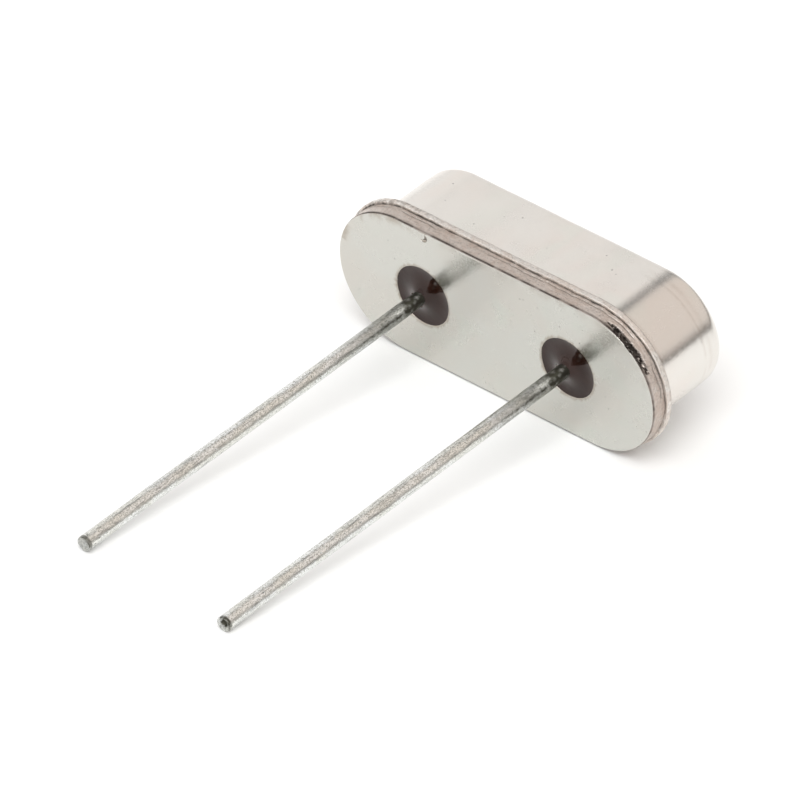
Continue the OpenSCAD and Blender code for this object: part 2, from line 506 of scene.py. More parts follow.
def satin_nickel(name, colour, roughness, grain):
    """Drawn nickel sheet: fine rolled grain, faint warm and green stains, and small pits."""
    finish = Finish(name, Metallic=1.0)
    stain = finish.noise(0.45, 3.0, 0.5, 0.6)
    warm = finish.blend(finish.span(stain, 0.38, 0.62), colour, tinted(colour, 1.0, 0.975, 0.965))
    green = finish.noise(0.8, 2.0, 0.5, 0.4, finish.stretched(1, 1, 0.7))
    clouded = finish.blend(finish.span(green, 0.52, 0.68, 0.0, 0.7), warm, tinted(colour, 0.975, 1.0, 0.985))
    fine = finish.noise(16.0, 6.0, 0.65)
    specks = finish.span(finish.cells(3.1), 0.05, 0.09, 1.0, 0.0)
    sparse = finish.span(finish.noise(1.3, 2.0), 0.43, 0.55)
    pits = finish.times(specks, sparse)
    toned = finish.blend(finish.span(fine, 0.3, 0.7, 0.09, 0.0), clouded, shade(colour, 0.7))
    patchy = finish.span(finish.noise(5.0, 4.0), 0.3, 0.6, 0.5, 1.0)
    # The stain attribute holds real stains, and also painted shade in bands below the cover's crown and in
    # the base's tool nick.
    brown = finish.times(finish.attribute("stain"), patchy)
    stained_and_shaded = finish.blend(brown, toned, tinted(colour, 0.62, 0.54, 0.48))
    worn = finish.blend(finish.times(pits, 0.6), stained_and_shaded, shade(colour, 0.3))
    sheen = finish.noise(1.1, 4.0, 0.6, 0.5)
    gloss = finish.span(sheen, 0.3, 0.7, roughness * 0.85, roughness * 1.2)
    rough = finish.plus(gloss, finish.span(fine, 0.4, 0.7, 0.0, 0.06))
    height = finish.minus(fine, finish.times(pits, 1.5))
    swell = finish.bump(finish.noise(1.5, 2.0, 0.5), 0.0055)
    return finish.done(Base_Color=worn, Roughness=rough, Normal=finish.bump(height, grain, swell))


def weld_scale(name, colour, groove_colour, bright_colour):
    """The edge that the weld left: dull gritty brown-grey scale, strokes along the seam, soot in the pits."""
    finish = Finish(name, Metallic=1.0)
    blotch = finish.noise(2.2, 5.0, 0.7, 0.8)
    strokes = finish.noise(7.0, 6.0, 0.75, 0.4, finish.stretched(1, 1, 5))
    grit = finish.noise(17.0, 6.0, 0.75)
    body = finish.blend(finish.span(blotch, 0.38, 0.62), colour, tinted(colour, 0.88, 0.83, 0.8))
    streaked = finish.blend(finish.span(strokes, 0.48, 0.66, 0.0, 0.45), body, bright_colour)
    gritty = finish.blend(finish.span(grit, 0.36, 0.5, 0.6, 0.0), streaked, shade(colour, 0.45))
    dark = finish.times(finish.attribute("soot"), finish.span(grit, 0.25, 0.6, 0.72, 1.0))
    dirty = finish.blend(dark, gritty, groove_colour)
    silver = finish.blend(finish.times(finish.attribute("flake"), 0.6), dirty, bright_colour)
    rough = finish.plus(finish.span(blotch, 0.3, 0.7, 0.32, 0.5), finish.times(dark, 0.3))
    relief = finish.plus(grit, finish.times(strokes, 0.7))
    return finish.done(Base_Color=silver, Roughness=rough, Normal=finish.bump(relief, 0.014))


def seal_glass_finish(colour):
    """Dark sealing glass, near black brown, with a skin that is not quite even, and lighter specks that are
    seed bubbles in the glass and painted glints.
    """
    finish = Finish("seal_glass", IOR=1.46, Specular_Tint=(1.0, 0.9, 0.87, 1.0))
    cloud = finish.noise(2.6, 3.0, 0.5)
    tone = finish.blend(finish.span(cloud, 0.35, 0.65), colour, shade(colour, 1.5))
    # Lighter specks: seed bubbles in the glass, which also stand in as painted glints.
    seeds_and_glints = finish.span(finish.cells(7.0), 0.04, 0.08, 1.0, 0.0)
    seeded_and_glinting = finish.blend(finish.times(seeds_and_glints, 0.35), tone, shade(colour, 5.0))
    skin = finish.noise(3.5, 2.0, 0.5)
    rough = finish.span(skin, 0.35, 0.7, 0.035, 0.1)
    return finish.done(Base_Color=seeded_and_glinting, Roughness=rough, Normal=finish.bump(skin, 0.006))


def tin_finish(colour):
    """Dull dipped tin: lengthwise drips and streaks, a gritty mottled skin and darker rubbed patches."""
    finish = Finish("dipped_tin", Metallic=1.0)
    patch = finish.noise(2.4, 3.0, 0.5, 0.3, finish.stretched(1.2, 1.2, 0.5))
    mottle = finish.noise(22.0, 6.0, 0.75, 0.3, finish.stretched(1.2, 1.2, 0.8))
    streak = finish.noise(13.0, 5.0, 0.65, 0.3, finish.stretched(1, 1, 0.12))
    bright = tinted(colour, 1.08, 1.08, 1.1)
    tone = finish.blend(finish.span(patch, 0.38, 0.62), bright, tinted(colour, 1.0, 0.98, 0.95))
    body = finish.blend(finish.span(mottle, 0.46, 0.58, 0.0, 0.9), tone, tinted(colour, 0.56, 0.56, 0.53))
    lined = finish.blend(finish.span(streak, 0.52, 0.66, 0.0, 0.7), body, shade(colour, 0.42))
    crust = finish.span(finish.cells(8.0, finish.stretched(1, 1, 0.6)), 0.08, 0.2, 1.0, 0.0)
    bitten = finish.times(crust, finish.span(finish.noise(2.1, 2.0), 0.45, 0.6))
    dull = finish.blend(finish.times(bitten, 0.65), lined, shade(colour, 0.22))
    # The soot attribute darkens the tip, a line of residue and the lead near the glass; near the glass part
    # of that darkening is painted shade.
    grimy_and_shaded = finish.blend(finish.attribute("soot"), dull, tinted(colour, 0.09, 0.086, 0.07))
    sooty = finish.times(finish.attribute("soot"), 0.3)
    rough = finish.plus(finish.span(mottle, 0.3, 0.7, 0.13, 0.26), sooty)
    fine = finish.noise(30.0, 4.0, 0.6)
    relief = finish.plus(finish.times(streak, 1.2), mottle)
    lower = finish.bump(relief, 0.005)
    height = finish.minus(fine, finish.times(bitten, 2.0))
    return finish.done(Base_Color=grimy_and_shaded, Roughness=rough, Normal=finish.bump(height, 0.005, lower))


def spring_bronze_finish(colour):
    """Rolled strip with lines along the roll, a little tarnish and a soft gloss."""
    finish = Finish("spring_bronze", Metallic=1.0)
    rolled = finish.noise(6.0, 5.0, 0.6, 0.1, finish.stretched(0.3, 4, 1))
    tarnish = finish.noise(1.8, 4.0, 0.6, 0.6)
    tone = finish.blend(finish.span(tarnish, 0.4, 0.65), colour, tinted(colour, 0.8, 0.68, 0.6))
    lined = finish.blend(finish.span(rolled, 0.4, 0.7, 0.0, 0.3), tone, shade(colour, 0.6))
    rough = finish.span(rolled, 0.3, 0.7, 0.22, 0.4)
    return finish.done(Base_Color=lined, Roughness=rough, Normal=finish.bump(rolled, 0.004))


def quartz_finish(colour):
    """Lapped quartz: clear, with the fine frosting that the lapping leaves."""
    finish = Finish("lapped_quartz", IOR=1.544, Transmission_Weight=1.0)
    lapping = finish.noise(20.0, 5.0, 0.6)
    cloud = finish.noise(0.7, 2.0)
    tone = finish.blend(finish.span(cloud, 0.35, 0.65), colour, shade(colour, 0.94))
    rough = finish.span(lapping, 0.3, 0.7, 0.06, 0.22)
    return finish.done(Base_Color=tone, Roughness=rough, Normal=finish.bump(lapping, 0.001))


def silver_film_finish(colour):
    """Evaporated silver, bright with a faint yellow bloom at places."""
    finish = Finish("silver_film", Metallic=1.0)
    bloom = finish.noise(1.0, 3.0, 0.5, 0.4)
    tone = finish.blend(finish.span(bloom, 0.45, 0.7), colour, tinted(colour, 0.97, 0.9, 0.76))
    under = finish.noise(20.0, 5.0, 0.6)
    rough = finish.span(under, 0.3, 0.7, 0.12, 0.26)
    return finish.done(Base_Color=tone, Roughness=rough, Normal=finish.bump(under, 0.001))


def silver_adhesive_finish(colour):
    """Silver-filled adhesive: matt grey with flakes that catch the light."""
    finish = Finish("silver_adhesive")
    flakes = finish.span(finish.cells(26.0), 0.1, 0.3, 1.0, 0.0)
    lumps = finish.noise(5.0, 4.0, 0.6)
    tone = finish.blend(finish.span(lumps, 0.35, 0.65), colour, shade(colour, 0.7))
    flaked = finish.blend(finish.times(flakes, 0.6), tone, shade(colour, 1.5))
    metal = finish.span(flakes, 0.2, 0.8, 0.1, 0.8)
    rough = finish.span(lumps, 0.3, 0.7, 0.5, 0.7)
    return finish.done(Base_Color=flaked, Metallic=metal, Roughness=rough, Normal=finish.bump(lumps, 0.02))


# --- Settings ---


def length_setting(name, description, millimetres):
    """A length setting whose default is given in millimetres."""
    return FloatProperty(
        name=name, description=description, default=millimetres * MM, min=0.0, precision=6, unit="LENGTH"
    )


def colour_setting(name, description, colour):
    """A colour setting."""
    return FloatVectorProperty(
        name=name, description=description, default=colour, size=3, min=0.0, max=1.0, subtype="COLOR"
    )


class CrystalMetalwork(bpy.types.PropertyGroup):
    """Sizes and colours of the cover and the base."""

    sheet: length_setting("Sheet", "Thickness of the cover's sheet", 0.18)
    lip_edge: length_setting("Lip Edge", "Radius worn on the edge of the welding lip", 0.035)
    root_radius: length_setting("Root Radius", "Outer radius where the wall turns out into the lip", 0.18)
    rolled_edge: length_setting("Rolled Edge", "Radius rolled on the edge of the seating face", 0.06)
    weld_depth: length_setting("Weld Depth", "Depth of the pits that the weld left in the rim", 0.1)
    dent_depth: length_setting("Dent Depth", "Depth of the soft waves in the cover's wall", 0.006)
    cover_colour: colour_setting("Cover", "Nickel of the cover", (0.78, 0.758, 0.722))
    base_colour: colour_setting("Base", "Nickel of the seating face", (0.61, 0.605, 0.567))
    lip_colour: colour_setting("Lip Edge Colour", "Bright edge of the welding lip", (0.82, 0.785, 0.745))
    scale_colour: colour_setting("Weld Scale", "Dull band round the rim", (0.64, 0.575, 0.53))
    seam_colour: colour_setting("Seam", "Soot in the seam and the pits", (0.038, 0.03, 0.025))


class CrystalLeads(bpy.types.PropertyGroup):
    """Sizes and colours of the leads and their seals."""

    drip: length_setting("Coat Relief", "Unevenness of the tin coat", 0.008)
    crater: length_setting("Cut Crater", "Depth of the hollow in each cut tip", 0.07)
    meniscus: length_setting("Meniscus", "Radius of the hollow that the glass has from lead to hole", 0.9)
    hole_edge: length_setting("Hole Edge", "Radius on the edge of each sealed hole", 0.03)
    tin_colour: colour_setting("Tin", "Dull tin coat of the leads", (0.83, 0.845, 0.825))
    glass_colour: colour_setting("Glass", "Dark glass of the seals", (0.0115, 0.0035, 0.002))


class CrystalInside(bpy.types.PropertyGroup):
    """Colours of what the cover hides."""

    bronze_colour: colour_setting("Spring Bronze", "Strip of the two spring clips", (0.74, 0.62, 0.42))
    quartz_colour: colour_setting("Quartz", "Clear lapped blank", (0.90, 0.94, 0.96))
    silver_colour: colour_setting("Silver", "Electrode film", (0.88, 0.87, 0.85))
    adhesive_colour: colour_setting("Adhesive", "Silver-filled adhesive", (0.52, 0.50, 0.47))


class CrystalStage(bpy.types.PropertyGroup):
    """Floor, light and camera."""

    floor_size: FloatProperty(
        name="Floor Size", description="Width of the pale floor", default=0.5, min=0.05, unit="LENGTH"
    )
    floor_colour: colour_setting("Floor", "Pale floor", (0.92, 0.93, 0.93))
    light_level: FloatProperty(
        name="Light", description="Strength of the soft room light", default=1.0, min=0.0
    )
    front_power: FloatProperty(
        name="Front Power", description="Power of the soft front light", default=2.6, min=0.0, unit="POWER"
    )
    focal_length: FloatProperty(
        name="Focal Length", description="Lens of the camera", default=540.0, min=20.0, unit="CAMERA"
    )


def settings(group):
    """The scene's settings of one group."""
    return getattr(bpy.context.scene, group)


# --- The rim and its seam ---


def seam_wave(points):
    """How far the seam wanders up or down at each point round the rim."""
    return SEAM_SWAY * level_noise(points, 1.7, 3.1, 2) + SEAM_RIPPLE * level_noise(points, 6.0, 8.3, 2)


def moved_with_seam(points):
    """Shifts the rim's points up or down with the seam, most at the seam itself."""
    near = window(points[:, 2], SEAM_BOTTOM, CAD["rim_t"], CAD["rim_t"], SEAM_TOP)
    reach = near * smooth_step(round_place(points)[1], CAD["cover_r"] + 0.1, CAD["cover_r"] + 0.3)
    moved = points.copy()
    chosen = reach > 0
    moved[chosen, 2] += reach[chosen] * seam_wave(points[chosen])
    return moved


def rim_groove(points, half_width):
    """Strength (0 to 1) of the broken line that runs round the rim."""
    broken = smooth_step(level_noise(points, 1.1, 6.6, 2), -0.15, 0.1)
    return hump(points[:, 2] - GROOVE_Z - seam_wave(points) * 2, half_width) * broken


def weld_pits(points):
    """Strength (0 to 1) of the torn pits in the rim, and of the flakes that stand in them."""
    angle, _ = round_place(points)
    wander = noise_field(points, 3.0, 5.7, 3)
    ragged = noise_field(points, (5.0, 5.0, 9.0), 2.3, 3)
    middle = PIT_TRACK_Z + 0.02 * np.sin(angle * 9.0) + 0.03 * wander
    half_width = 0.055 + 0.06 * right_end_stretch(points, WIDE_PIT_ARC) + 0.04 * ragged
    across = 1 - np.abs(points[:, 2] - middle) / half_width
    broken = smooth_step(wander + 0.8 * ragged, -0.5, -0.3)
    torn = right_end_stretch(points, PIT_ARC) * smooth_step(across, 0.0, 0.3) * broken
    ridge = 1 - np.abs(noise_field(points, (3.0, 3.0, 5.0), 8.8, 3)) / 0.08
    flake = torn * smooth_step(ridge, 0.0, 0.6) * smooth_step(ragged, -0.05, 0.15)
    return torn - flake, flake


def seam_dirt(points):
    """How sooty the seam is round the rim: heavy above, and light where the right end turns under."""
    angle, _ = round_place(points)
    clean = (points[:, 0] > CAD["end_x"]) * smooth_step(np.degrees(angle), -45, -10)
    patchy = smooth_step(noise_field(points, (3.5, 3.5, 5.0), 3.3, 4), -0.4, 0.3)
    return (0.1 + 0.6 * patchy) * (1 - 0.65 * clean)


# --- Cover ---


def cover_relief(points, normals):
    """The cover's skin: soft waves in the wall, a step under the crown, and the lip's worn edge."""
    metal = settings("crystal_metalwork")
    _, out = round_place(points)
    crown = points[:, 2] > CAD["cover_h"] - 0.3
    outside = (out > CAD["cover_r"] - metal.sheet / MM / 2) | crown
    skin = (normals[:, 2] > -0.5) & outside
    chosen = points[skin]
    height = chosen[:, 2]
    wall = smooth_step(height, CAD["rim_t"] + 0.3, CAD["rim_t"] + 0.6)
    wave = noise_field(chosen, (0.7, 0.7, 0.5), 2.2, 2) + 1.0
    step = CAD["cover_h"] - DRAW_STEP + DRAW_SWAY * np.sin(chosen[:, 0] * 0.9)
    side = out[skin] > CAD["cover_r"] - 0.05
    rounded = smooth_step(np.abs(chosen[:, 0]), CAD["end_x"] - 0.3, CAD["end_x"] + 0.3)
    lip = smooth_step(out[skin], CAD["lip_r"] - 0.12, CAD["lip_r"] - 0.02) * (1 - wall)
    lines = noise_field(chosen, (0.8, 0.8, 26.0), 7.7, 3)
    nicks = noise_field(chosen, (5.0, 5.0, 6.0), 9.1, 4)
    depth = metal.dent_depth / MM * wave * wall
    depth += DRAW_LINE_DEPTH * hump(height - step, 0.04) * side * rounded
    depth += ABOVE_STEP_DEPTH * smooth_step(height, step, CAD["cover_h"] - CAD["crown_r"] + 0.1)
    depth += lip * (LIP_DEPTH + LIP_LINE_DEPTH * lines + LIP_NICK_DEPTH * nicks)
    shaped = points.copy()
    shaped[skin] -= normals[skin] * depth[:, None]
    return moved_with_seam(shaped)


def cover_profile(sheet, root, edge):
    """Half profile of the cover's sheet: up its inside, out under the lip, and back over wall and crown."""
    rim_t, cover_h, cover_r, lip_r = (CAD[size] for size in ("rim_t", "cover_h", "cover_r", "lip_r"))
    inner = cover_r - sheet
    ceiling = cover_h - sheet
    landing = inner + 0.36
    crown_start = cover_r - CAD["crown_r"] - 0.1
    inside = [
        (0, ceiling, 0),
        (inner, ceiling, CAD["crown_r"] - sheet),
        (inner, rim_t, root + sheet - 0.06),
        (landing, rim_t, 0),
    ]
    outside = [
        (landing, rim_t, 0),
        (lip_r, rim_t, edge),
        (lip_r, rim_t + sheet, edge),
        (cover_r, rim_t + sheet, root),
        (cover_r, cover_h, CAD["crown_r"]),
        (crown_start, cover_h, 0),
    ]
    crown = [(crown_start, cover_h, 0), (0, cover_h, 0)]
    return joined_profile((inside, HIDDEN_STEP), (outside, COVER_STEP), (crown, CROWN_STEP))


def paint_cover(piece, sheet):
    """Soot in the seam and on the lip, a brown stain at the foot of the wall, bands of painted shade below
    the crown, and the lip's own material.
    """
    placed = upright_points(piece)
    _, out = round_place(placed)
    above_seam = placed[:, 2] - CAD["rim_t"]
    corner = np.hypot(out - CAD["base_r"], above_seam - seam_wave(placed))
    seam = seam_dirt(placed) * (1 - smooth_step(corner, 0.008, 0.04))
    brim = hump(above_seam - sheet + 0.02, 0.016) * (out > CAD["cover_r"] + 0.3)
    line = hump(above_seam - 0.1, 0.008) * (out > CAD["lip_r"] - 0.03)
    broken = smooth_step(level_noise(placed, 1.6, 1.9, 3), -0.1, 0.25)
    left_end = 1 - smooth_step(placed[:, 0], -CAD["end_x"] - 0.2, -CAD["end_x"] + 1.6)
    speckled = 0.4 * smooth_step(noise_field(placed, 11.0, 6.1, 3), 0.0, 0.35) * (0.25 + 0.75 * left_end)
    set_attribute(piece, "soot", np.clip(seam + 0.4 * brim + 0.35 * line * broken + speckled, 0, 1))
    foot = 0.25 * hump(above_seam - 0.46, 0.06)
    below_crown = CAD["cover_h"] - placed[:, 2]
    # Bands below the crown on the right end: painted shade for the darker reflection along the draw step, put
    # into the stain attribute with the foot's stain.
    uneven = smooth_step(noise_field(placed, (1.4, 1.4, 0.8), 4.9, 4), -0.35, 0.25)
    marks = 0.32 * hump(below_crown - SHARP_DRAW_SHADE, 0.035)
    marks += 0.22 * hump(below_crown - SOFT_DRAW_SHADE, 0.07)
    marks *= smooth_step(placed[:, 0], CAD["end_x"] - 0.3, CAD["end_x"] + 0.3)
    set_attribute(piece, "stain", foot + marks * uneven * (out > CAD["cover_r"] - 0.06))
    set_attribute(piece, "flake", np.zeros(len(placed)))
    lip_top = CAD["rim_t"] + sheet * 0.98
    lip_start = CAD["cover_r"] + 0.1
    use_edge_material(piece, placed, lambda z, reach: z < lip_top and reach > lip_start)


def build_cover():
    """The drawn cover: crown, wall, root and welding lip, one closed sheet."""
    metal = settings("crystal_metalwork")
    sheet = metal.sheet / MM
    path = cover_profile(sheet, metal.root_radius / MM, metal.lip_edge / MM)
    points, quads = sweep(path, stadium_ring(*COVER_STEPS), cover_relief)
    materials = [
        satin_nickel("cover_nickel", tuple(metal.cover_colour), 0.2, 0.0016),
        weld_scale("lip_scale", tuple(metal.lip_colour), tuple(metal.seam_colour), (0.84, 0.82, 0.79)),
    ]
    piece = make_piece("drawn_cover", points, quads, materials, 50)
    paint_cover(piece, sheet)
    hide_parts("cover")


# --- Base ---


def base_relief(points, normals):
    """The base's rim: seam, strokes, scale, torn pits and flakes. The face keeps its plane."""
    metal = settings("crystal_metalwork")
    rim = (normals[:, 2] > -0.9) & (points[:, 2] > 0) & (points[:, 2] < CAD["rim_t"])
    rim &= round_place(points)[1] > CAD["base_r"] - 0.1
    chosen = points[rim]
    pit, flake = weld_pits(chosen)
    grain = noise_field(chosen, (7.0, 7.0, 9.0), 1.3, 4)
    strokes = noise_field(chosen, (1.8, 1.8, 16.0), 4.4, 3)
    depth = GRAIN_DEPTH * grain + STROKE_DEPTH * strokes + SCALE_DEPTH
    depth += GROOVE_DEPTH * rim_groove(chosen, 0.018)
    depth += metal.weld_depth / MM * pit + FLAKE_DEPTH * flake
    depth *= smooth_step(chosen[:, 2], 0.0, 0.05)
    shaped = points.copy()
    shaped[rim] -= normals[rim] * depth[:, None]
    return moved_with_seam(shaped)


def base_profile(metal):
    """Half profile of the base: seating face, rolled edge, rim, and the raised middle inside the cover."""
    rim_t, base_t, base_r = (CAD[size] for size in ("rim_t", "base_t", "base_r"))
    boss_r = CAD["cover_r"] - metal.sheet / MM - BOSS_GAP
    edge_start = base_r - 0.15
    landing = base_r - 0.12
    face = [(0, 0, 0), (edge_start, 0, 0)]
    rim = [
        (edge_start, 0, 0),
        (base_r, 0, metal.rolled_edge / MM),
        (base_r, rim_t, 0.018),
        (landing, rim_t, 0),
    ]
    boss = [(landing, rim_t, 0), (boss_r, rim_t, 0.04), (boss_r, base_t, 0.15), (0, base_t, 0)]
    return joined_profile((face, FACE_STEP), (rim, RIM_STEP), (boss, BOSS_STEP))


def hole_cutter(side, hole_edge):
    """A closed cutter for one sealed hole, with its edge eased, that runs past both faces."""
    seal_r = CAD["seal_r"]
    below = -0.2
    above = CAD["base_t"] + 0.2
    profile = [
        (0, below, 0),
        (seal_r + hole_edge, below, 0),
        (seal_r + hole_edge, 0.0, 0),
        (seal_r + hole_edge * 0.3, hole_edge * 0.3, 0),
        (seal_r, hole_edge, 0),
        (seal_r, above, 0),
        (0, above, 0),
    ]
    ring = round_ring(side * CAD["lead_x"], HOLE_STEPS)
    return closed_object("seal_hole", *sweep(profile_path(profile, UNDIVIDED), ring))


def nick_cutter():
    """A crescent tool mark for the seating face: a bent tube that thins towards both ends."""
    steps, sides = 28, 10
    thinnest, flatness = 0.12, 0.8
    around = [2 * math.pi * i / sides for i in range(sides)]
    middle = np.array([*NICK_PLACE, 0.0])
    up = np.array([0.0, 0.0, 1.0])
    rows = []
    for i in range(steps + 1):
        angle = math.radians(NICK_START + NICK_TURN * i / steps)
        radius = NICK_HALF_WIDTH * max(thinnest, math.sin(math.pi * i / steps))
        outward = np.array([math.cos(angle), math.sin(angle), 0.0])
        centre = middle + NICK_R * outward
        reach = outward * radius
        rise = up * radius * flatness
        rows.append([centre + reach * math.cos(a) + rise * math.sin(a) for a in around])
    ends = [np.repeat(np.mean(row, axis=0)[None], sides, 0) for row in (rows[0], rows[-1])]
    points = np.vstack([ends[0], *rows, ends[1]])
    return closed_object("nick", points, ring_quads(steps + 3, sides))


def paint_base(piece, hole_edge):
    """Soot in the rim's pits, groove and seam, stains on the seating face, painted shade in the tool nick,
    and the rim's own material.
    """
    placed = upright_points(piece)
    _, out = round_place(placed)
    x, y, height = placed.T
    rim_t, base_r = CAD["rim_t"], CAD["base_r"]
    pit, flake = weld_pits(placed)
    on_rim = smooth_step(out, base_r - 0.32, base_r - 0.25) * (height < rim_t + 0.02)
    seam = seam_dirt(placed) * smooth_step(height - seam_wave(placed), rim_t - 0.04, rim_t - 0.005)
    worn = smooth_step(level_noise(placed, 3.0, 7.5, 4), -0.5, 0.3)
    burnt = right_end_stretch(placed, BURNT_ARC)
    corner = hump(height - 0.045, 0.04 + 0.02 * burnt) * np.clip(0.6 + 0.4 * worn + 0.4 * burnt, 0, 1)
    sooty = seam + 0.55 * rim_groove(placed, 0.02) + corner + smooth_step(pit, 0.0, 0.12)
    upper_half = y < -0.6
    edge = smooth_step(out, base_r - 0.28, base_r - 0.1) * (height < 0.03)
    blotch = smooth_step(noise_field(placed, 1.6, 2.9, 4), -0.25, 0.3)
    left_end = 1 - smooth_step(x, -3.4, -1.8)
    edge_stain = edge * upper_half * (0.25 + 0.45 * left_end) * blotch
    from_hole = np.abs(np.hypot(np.abs(x) - CAD["lead_x"], y) - CAD["seal_r"] - hole_edge)
    from_nick = np.abs(np.hypot(x - NICK_PLACE[0], y - NICK_PLACE[1]) - NICK_R)
    hole_stain = 0.8 * (from_hole < 0.035)
    # The tool nick's walls are darkened: painted shade in the groove, put into the stain attribute with the
    # real stains.
    nick_shade = 0.9 * (from_nick < 0.06) * (height > 0.002)
    stains = np.maximum(edge_stain, np.maximum(hole_stain, nick_shade) * (height < 0.1))
    set_attribute(piece, "stain", np.clip(stains, 0, 1))
    set_attribute(piece, "soot", np.clip(sooty, 0, 1) * on_rim)
    set_attribute(piece, "flake", flake * on_rim)
    use_edge_material(piece, placed, lambda z, reach: z > 0.012 and reach > base_r - 0.25)


def build_base():
    """The stamped base: seating face, rolled edge, torn rim and raised middle, with two sealed holes."""
    metal = settings("crystal_metalwork")
    hole_edge = settings("crystal_leads").hole_edge / MM
    points, quads = sweep(base_profile(metal), stadium_ring(*BASE_STEPS), base_relief)
    materials = [
        satin_nickel("face_nickel", tuple(metal.base_colour), 0.21, 0.0019),
        weld_scale("rim_scale", tuple(metal.scale_colour), tuple(metal.seam_colour), (0.66, 0.63, 0.58)),
    ]
    piece = make_piece("stamped_base", points, quads, materials, 50)
    cut_away(piece, [hole_cutter(-1, hole_edge), hole_cutter(1, hole_edge), nick_cutter()])
    paint_base(piece, hole_edge)
    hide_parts("base_plate")


# --- Seals and leads ---


def build_seals():
    """The two glass seals: hollowed where the glass wets the lead and the hole."""
    leads = settings("crystal_leads")
    finish = seal_glass_finish(tuple(leads.glass_colour))
    hollow_r = leads.meniscus / MM
    wire_r, seal_r, climb = CAD["wire_r"], CAD["seal_r"], CAD["seal_climb"]
    run = seal_r - wire_r
    rise = SEAL_SINK + climb
    chord = math.hypot(run, rise)
    lift = math.sqrt(hollow_r * hollow_r - chord * chord / 4)
    centre_r = (wire_r + seal_r) / 2 + lift * rise / chord
    centre_z = (SEAL_SINK - climb) / 2 - lift * run / chord
    radii = np.linspace(wire_r, seal_r, 49)
    lower = [(r, centre_z + math.sqrt(hollow_r**2 - (r - centre_r) ** 2)) for r in radii]
    upper = [(r, CAD["base_t"] - z) for r, z in lower[::-1]]
    path = np.array(lower + upper + [lower[0]])
    for side, label in ((-1, "left"), (1, "right")):
        points, quads = sweep(path, round_ring(side * CAD["lead_x"], SEAL_STEPS))
        piece = make_piece(f"dark_seal_{label}", points, quads, [finish], 40)
        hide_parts(f"glass_seal_{label}")


def dragged_side(local):
    """How far each point of a tip lies to the side that the cutter dragged, in lead radii."""
    return (local[:, 0] * DRAG_X + local[:, 1] * DRAG_Y) / CAD["lead_r"]


def tip_hollow(local, side, ragged):
    """Depth (0 to 1) of the hollow in a cut tip: a dish on the left lead, an off-centre pit on the right."""
    x, y = local[:, 0] / CAD["lead_r"], local[:, 1] / CAD["lead_r"]
    if side < 0:
        dish = 1 - smooth_step(np.hypot(x, y) + 0.1 * ragged, 0.7, 0.92)
        return (0.35 + 0.6 * smooth_step(dragged_side(local), 0.0, 0.7)) * dish
    from_pit = np.hypot(x - TIP_PIT_OFFSET * DRAG_X, y - TIP_PIT_OFFSET * DRAG_Y)
    return 1 - smooth_step(from_pit + 0.25 * ragged, 0.32, 0.68)


def lead_relief(length, side):
    """The tin coat's skin and the cut tip of one lead."""
    leads = settings("crystal_leads")
    drip = leads.drip / MM
    crater = leads.crater / MM
    offset = 11.3 if side < 0 else 23.9

    def relief(points, normals):
        local = points - np.array([side * CAD["lead_x"], 0, 0])
        coated = 1 - smooth_step(points[:, 2], -0.45, -0.3)
        streak = noise_field(local, (3.2, 3.2, 0.5), offset, 3)
        lumps = noise_field(local, (5.0, 5.0, 2.6), offset + 4, 3)
        depth = drip * np.clip(0.5 + 0.5 * streak + 0.45 * lumps, 0, 1.2) * coated
        around = np.hypot(normals[:, 0], normals[:, 1])
        shaped = points - normals * (depth * around)[:, None]
        tip = smooth_step(-points[:, 2], length - 0.02, length - 0.005)
        ragged = noise_field(local, 7.0, offset + 9, 3)
        shaped[:, 2] += tip * (crater * tip_hollow(local, side, ragged) + 0.012 * (1 + ragged))
        return shaped

    return relief


def lead_profile(length, head_r, head_bottom, head_top):
    """Half profile of a lead: cut tip, coated shaft, bare wire through the glass, and the flat head."""
    lead_r, wire_r = CAD["lead_r"], CAD["wire_r"]
    shaft_start = 0.3 - length
    tip = [(0, -length, 0), (lead_r, -length, 0.05), (lead_r, shaft_start, 0)]
    shaft = [(lead_r, shaft_start, 0), (lead_r, COATED_Z, 0), (wire_r, BARE_Z, 0), (wire_r, head_bottom, 0)]
    head = [(wire_r, head_bottom, 0), (head_r, head_bottom, 0.04), (head_r, head_top, 0.04), (0, head_top, 0)]
    return joined_profile((tip, TIP_STEP), (shaft, SHAFT_STEP), (head, HEAD_STEP))


